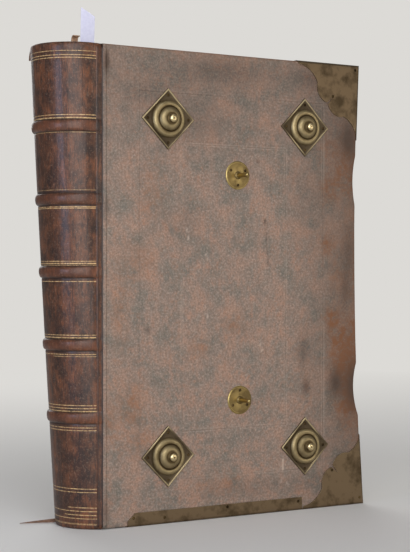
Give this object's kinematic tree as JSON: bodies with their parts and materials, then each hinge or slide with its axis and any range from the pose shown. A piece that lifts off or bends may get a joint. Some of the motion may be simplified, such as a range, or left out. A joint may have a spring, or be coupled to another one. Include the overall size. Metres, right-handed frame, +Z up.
{
  "type": "antique leather book",
  "caption": "Large standing folio: leather over wooden boards, rounded spine with raised bands, brass bosses, corners and clasp pins, covers that open.",
  "frame": {"origin": "middle of the bounding box, at the level of the table that the book stands on", "axes": "+Z up the spine to the head, +X towards the fore-edge, -Y out of the front cover"},
  "size_m": [0.4119, 0.126, 0.5644],
  "materials": {
    "calf_leather": "worn",
    "tan_leather": "worn",
    "paper": "matte",
    "board_wood": "matte",
    "hemp_cord": "matte",
    "aged_brass": "satin",
    "bright_brass": "satin"
  },
  "bodies": {
    "book_block": {"head_endband": "hemp_cord", "leather_marker": "tan_leather", "paper_slip": "paper", "sewing_cord_1": "hemp_cord", "sewing_cord_2": "hemp_cord", "sewing_cord_3": "hemp_cord", "sewing_cord_4": "hemp_cord", "sewing_cord_5": "hemp_cord", "spine_leather": "calf_leather", "tail_endband": "hemp_cord", "text_block": "paper", "front_flyleaf": "paper", "back_flyleaf": "paper"},
    "front_cover": {"clasp_nails": "bright_brass", "clasp_pin_lower": "bright_brass", "clasp_pin_upper": "bright_brass", "clasp_plate_lower": "bright_brass", "clasp_plate_upper": "bright_brass", "front_board": "board_wood", "front_boss_1": "aged_brass", "front_boss_2": "aged_brass", "front_boss_3": "aged_brass", "front_boss_4": "aged_brass", "front_boss_nails": "aged_brass", "front_boss_plate_1": "aged_brass", "front_boss_plate_2": "aged_brass", "front_boss_plate_3": "aged_brass", "front_boss_plate_4": "aged_brass", "front_cord_slips": "hemp_cord", "front_corner_nails": "aged_brass", "front_head_corner": "aged_brass", "front_leather": "calf_leather", "front_pastedown": "paper", "front_strip_nails": "aged_brass", "front_tail_corner": "aged_brass", "front_tail_strip": "aged_brass"},
    "back_cover": {"back_board": "board_wood", "back_boss_1": "aged_brass", "back_boss_2": "aged_brass", "back_boss_3": "aged_brass", "back_boss_4": "aged_brass", "back_boss_nails": "aged_brass", "back_boss_plate_1": "aged_brass", "back_boss_plate_2": "aged_brass", "back_boss_plate_3": "aged_brass", "back_boss_plate_4": "aged_brass", "back_cord_slips": "hemp_cord", "back_corner_nails": "aged_brass", "back_head_corner": "aged_brass", "back_leather": "calf_leather", "back_pastedown": "paper", "back_strip_nails": "aged_brass", "back_tail_corner": "aged_brass", "back_tail_strip": "aged_brass"}
  },
  "joints": [
    {"name": "front_joint", "type": "hinge", "parent": "book_block", "child": "front_cover", "pos_m": [-0.1469, -0.04145, 0.26], "axis": [0, 0, -1], "range_deg": [0, 160]},
    {"name": "back_joint", "type": "hinge", "parent": "book_block", "child": "back_cover", "pos_m": [-0.1469, 0.04855, 0.26], "axis": [0, 0, 1], "range_deg": [0, 160]}
  ]
}
